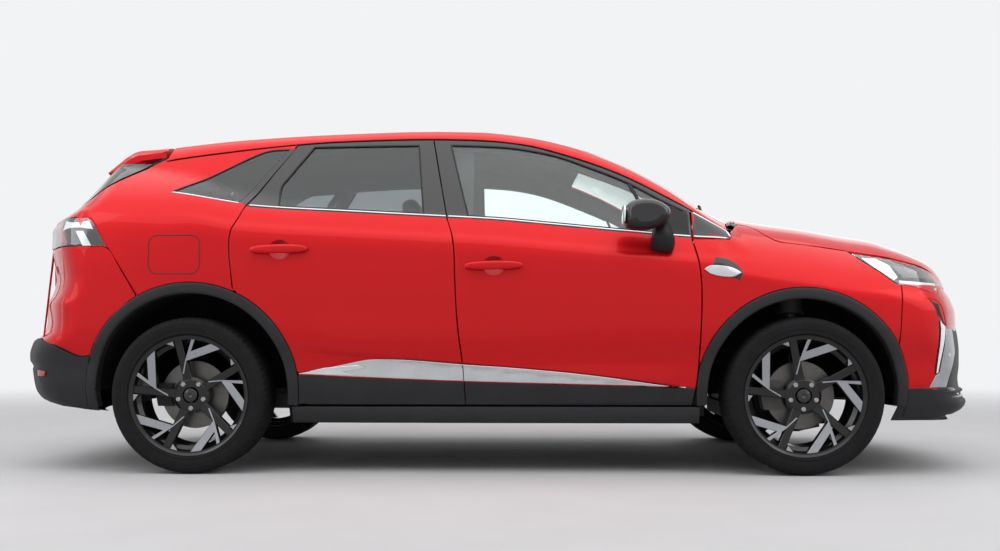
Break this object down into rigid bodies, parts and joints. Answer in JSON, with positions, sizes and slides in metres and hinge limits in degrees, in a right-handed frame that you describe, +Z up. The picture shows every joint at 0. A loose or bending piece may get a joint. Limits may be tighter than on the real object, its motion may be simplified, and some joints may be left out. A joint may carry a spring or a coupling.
{
  "type": "compact crossover car",
  "caption": "Five-door compact crossover car with opening doors, bonnet and tailgate, steering front wheels and turning road wheels.",
  "frame": {"origin": "on the ground, midway along the length and across the width", "axes": "+X towards the nose, +Y to the car's left, +Z up"},
  "size_m": [4.4175, 2.003, 1.5599],
  "materials": {
    "body_paint": "bright red metallic paint under clear coat",
    "black_gloss": "gloss black",
    "clad_plastic": "grained dark grey cladding",
    "window_glass": "green-grey safety glass",
    "privacy_glass": "dark tinted glass",
    "lamp_clear": "clear lamp cover over dark housing",
    "tyre_rubber": "black road tyre",
    "alloy": "two-tone alloy, black with machined faces",
    "iron": "cast, bare",
    "steel_black": "black coated steel",
    "engine_cast": "plain cast block",
    "trim_fabric": "dark woven seat cloth",
    "cabin_plastic": "dark soft-touch cabin trim",
    "floor_steel": "coated steel pressings"
  },
  "bodies": {
    "body": {"body_side_left": "body_paint", "body_side_right": "body_paint", "front_wing_left": "body_paint", "front_wing_right": "body_paint", "roof_panel": "body_paint", "front_bumper": "body_paint", "rear_bumper": "body_paint", "grille": "black_gloss", "sill_cladding_left": "clad_plastic", "sill_cladding_right": "clad_plastic", "front_arch_trim_left": "clad_plastic", "front_arch_trim_right": "clad_plastic", "cowl_panel": "clad_plastic", "fixed_glass": "window_glass", "headlamp_left": "lamp_clear", "headlamp_right": "lamp_clear", "tail_lamp_left": "lamp_clear", "tail_lamp_right": "lamp_clear", "front_subframe": "steel_black", "rear_axle": "steel_black", "engine_block": "engine_cast", "front_seat_left": "trim_fabric", "front_seat_right": "trim_fabric", "rear_bench": "trim_fabric", "dashboard": "cabin_plastic", "steering_wheel": "cabin_plastic", "floor_pan": "floor_steel"},
    "front_door_left_body": {"front_door_left": "body_paint", "front_door_glass_left": "window_glass", "mirror_left": "black_gloss"},
    "rear_door_left_body": {"rear_door_left": "body_paint", "rear_door_glass_left": "privacy_glass"},
    "front_upright_left": {"front_knuckle_left": "iron"},
    "front_wheel_left_body": {"front_wheel_left": "alloy", "front_tyre_left": "tyre_rubber"},
    "rear_wheel_left_body": {"rear_wheel_left": "alloy", "rear_tyre_left": "tyre_rubber"},
    "front_door_right_body": {"front_door_right": "body_paint", "front_door_glass_right": "window_glass", "mirror_right": "black_gloss"},
    "rear_door_right_body": {"rear_door_right": "body_paint", "rear_door_glass_right": "privacy_glass"},
    "front_upright_right": {"front_knuckle_right": "iron"},
    "front_wheel_right_body": {"front_wheel_right": "alloy", "front_tyre_right": "tyre_rubber"},
    "rear_wheel_right_body": {"rear_wheel_right": "alloy", "rear_tyre_right": "tyre_rubber"},
    "bonnet_body": {"bonnet": "body_paint"},
    "tailgate_body": {"tailgate": "body_paint", "tailgate_glass": "privacy_glass"}
  },
  "joints": [
    {"name": "front_door_left_hinge", "type": "hinge", "parent": "body", "child": "front_door_left_body", "pos_m": [0.762, 0.852, 0.71], "axis": [0, 0, -1], "range_deg": [0, 62]},
    {"name": "rear_door_left_hinge", "type": "hinge", "parent": "body", "child": "rear_door_left_body", "pos_m": [-0.288, 0.852, 0.71], "axis": [0, 0, -1], "range_deg": [0, 65]},
    {"name": "steer_left", "type": "hinge", "parent": "body", "child": "front_upright_left", "pos_m": [1.3115, 0.69, 0.182], "axis": [0, -0.1672, 0.9859], "range_deg": [-32, 32]},
    {"name": "front_wheel_left_spin", "type": "hinge", "parent": "front_upright_left", "child": "front_wheel_left_body", "pos_m": [1.3115, 0.7, 0.338], "axis": [0, 1, 0], "continuous": true},
    {"name": "rear_wheel_left_spin", "type": "hinge", "parent": "body", "child": "rear_wheel_left_body", "pos_m": [-1.3265, 0.7, 0.338], "axis": [0, 1, 0], "continuous": true},
    {"name": "front_door_right_hinge", "type": "hinge", "parent": "body", "child": "front_door_right_body", "pos_m": [0.762, -0.852, 0.71], "axis": [0, 0, 1], "range_deg": [0, 62]},
    {"name": "rear_door_right_hinge", "type": "hinge", "parent": "body", "child": "rear_door_right_body", "pos_m": [-0.288, -0.852, 0.71], "axis": [0, 0, 1], "range_deg": [0, 65]},
    {"name": "steer_right", "type": "hinge", "parent": "body", "child": "front_upright_right", "pos_m": [1.3115, -0.69, 0.182], "axis": [0, 0.1672, 0.9859], "range_deg": [-32, 32]},
    {"name": "front_wheel_right_spin", "type": "hinge", "parent": "front_upright_right", "child": "front_wheel_right_body", "pos_m": [1.3115, -0.7, 0.338], "axis": [0, 1, 0], "continuous": true},
    {"name": "rear_wheel_right_spin", "type": "hinge", "parent": "body", "child": "rear_wheel_right_body", "pos_m": [-1.3265, -0.7, 0.338], "axis": [0, 1, 0], "continuous": true},
    {"name": "bonnet_hinge", "type": "hinge", "parent": "body", "child": "bonnet_body", "pos_m": [1.098, 0, 1.1233], "axis": [0, -1, 0], "range_deg": [0, 50]},
    {"name": "tailgate_hinge", "type": "hinge", "parent": "body", "child": "tailgate_body", "pos_m": [-1.534, 0, 1.4703], "axis": [0, 1, 0], "range_deg": [0, 75]}
  ],
  "couplings": [
    {"joint": "steer_right", "follows": "steer_left", "ratio": 1}
  ]
}
